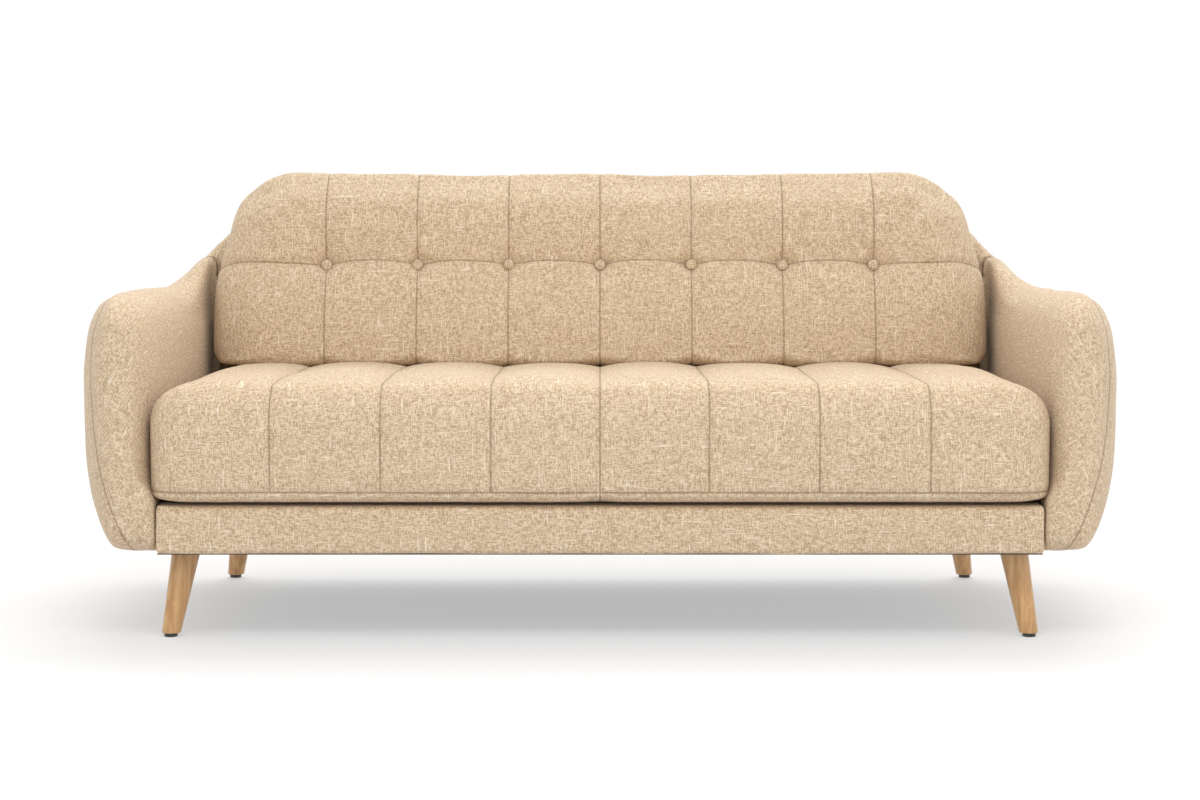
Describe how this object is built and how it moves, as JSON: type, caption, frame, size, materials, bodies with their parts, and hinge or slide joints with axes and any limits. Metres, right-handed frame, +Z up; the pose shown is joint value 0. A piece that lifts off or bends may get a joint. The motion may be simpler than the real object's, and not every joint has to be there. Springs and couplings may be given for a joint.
{
  "type": "sofa",
  "caption": "Mid-century three-seater sofa with rounded pod arms, channelled bench seat, buttoned back cushion and tapered splayed oak legs, upholstered in heathered oatmeal fabric.",
  "frame": {"origin": "on the floor, under the middle of the sofa's overall box", "axes": "+Z up, the sofa faces -Y, +X to the right of a person who looks at its front"},
  "size_m": [1.9, 0.86, 0.8427],
  "materials": {
    "upholstery": "matte heathered plain weave with pale slubs",
    "oak": "satin lacquer",
    "glide_plastic": "gloss",
    "pine": "matte",
    "plywood": "matte",
    "steel": "satin",
    "webbing": "matte",
    "lining": "matte",
    "zip": "matte",
    "washer_plastic": "matte",
    "twine": "matte",
    "foam": "matte"
  },
  "bodies": {
    "frame": {"arm_bolts": "steel", "back_board": "plywood", "back_foam": "foam", "back_lower_rail": "pine", "back_ribs": "plywood", "back_straps": "webbing", "back_top_rail": "pine", "back_top_roll": "foam", "centre_rail": "pine", "corner_blocks": "pine", "deck_pad": "foam", "dust_cover": "lining", "front_left_glide": "glide_plastic", "front_left_leg": "oak", "front_rail": "pine", "front_rail_cover": "upholstery", "front_rail_padding": "foam", "front_right_glide": "glide_plastic", "front_right_leg": "oak", "inside_back_cover": "upholstery", "left_arm_batten": "pine", "left_arm_foam": "foam", "left_arm_front_cover": "upholstery", "left_arm_outer_cover": "upholstery", "left_arm_panel": "plywood", "left_side_rail": "pine", "left_wing_block": "foam", "leg_bolts": "steel", "leg_plate_screws": "steel", "leg_plates": "steel", "outside_back_cover": "upholstery", "rear_left_glide": "glide_plastic", "rear_left_leg": "oak", "rear_rail": "pine", "rear_right_glide": "glide_plastic", "rear_right_leg": "oak", "right_arm_batten": "pine", "right_arm_foam": "foam", "right_arm_front_cover": "upholstery", "right_arm_outer_cover": "upholstery", "right_arm_panel": "plywood", "right_side_rail": "pine", "right_wing_block": "foam", "seat_straps_cross": "webbing", "seat_straps_long": "webbing"},
    "seat_cushion": {"seat_cushion_cover": "upholstery", "seat_cushion_core": "foam", "seat_cushion_zip": "zip"},
    "back_cushion": {"back_cushion_buttons": "upholstery", "back_cushion_core": "foam", "back_cushion_cover": "upholstery", "back_cushion_twine": "twine", "back_cushion_washers": "washer_plastic", "back_cushion_zip": "zip"}
  },
  "joints": [
    {"name": "seat_cushion_slide", "type": "slide", "parent": "frame", "child": "seat_cushion", "axis": [0, -1, 0], "range_m": [0, 0.75]},
    {"name": "back_cushion_lift", "type": "slide", "parent": "frame", "child": "back_cushion", "axis": [0, 0, 1], "range_m": [0, 0.5]}
  ]
}
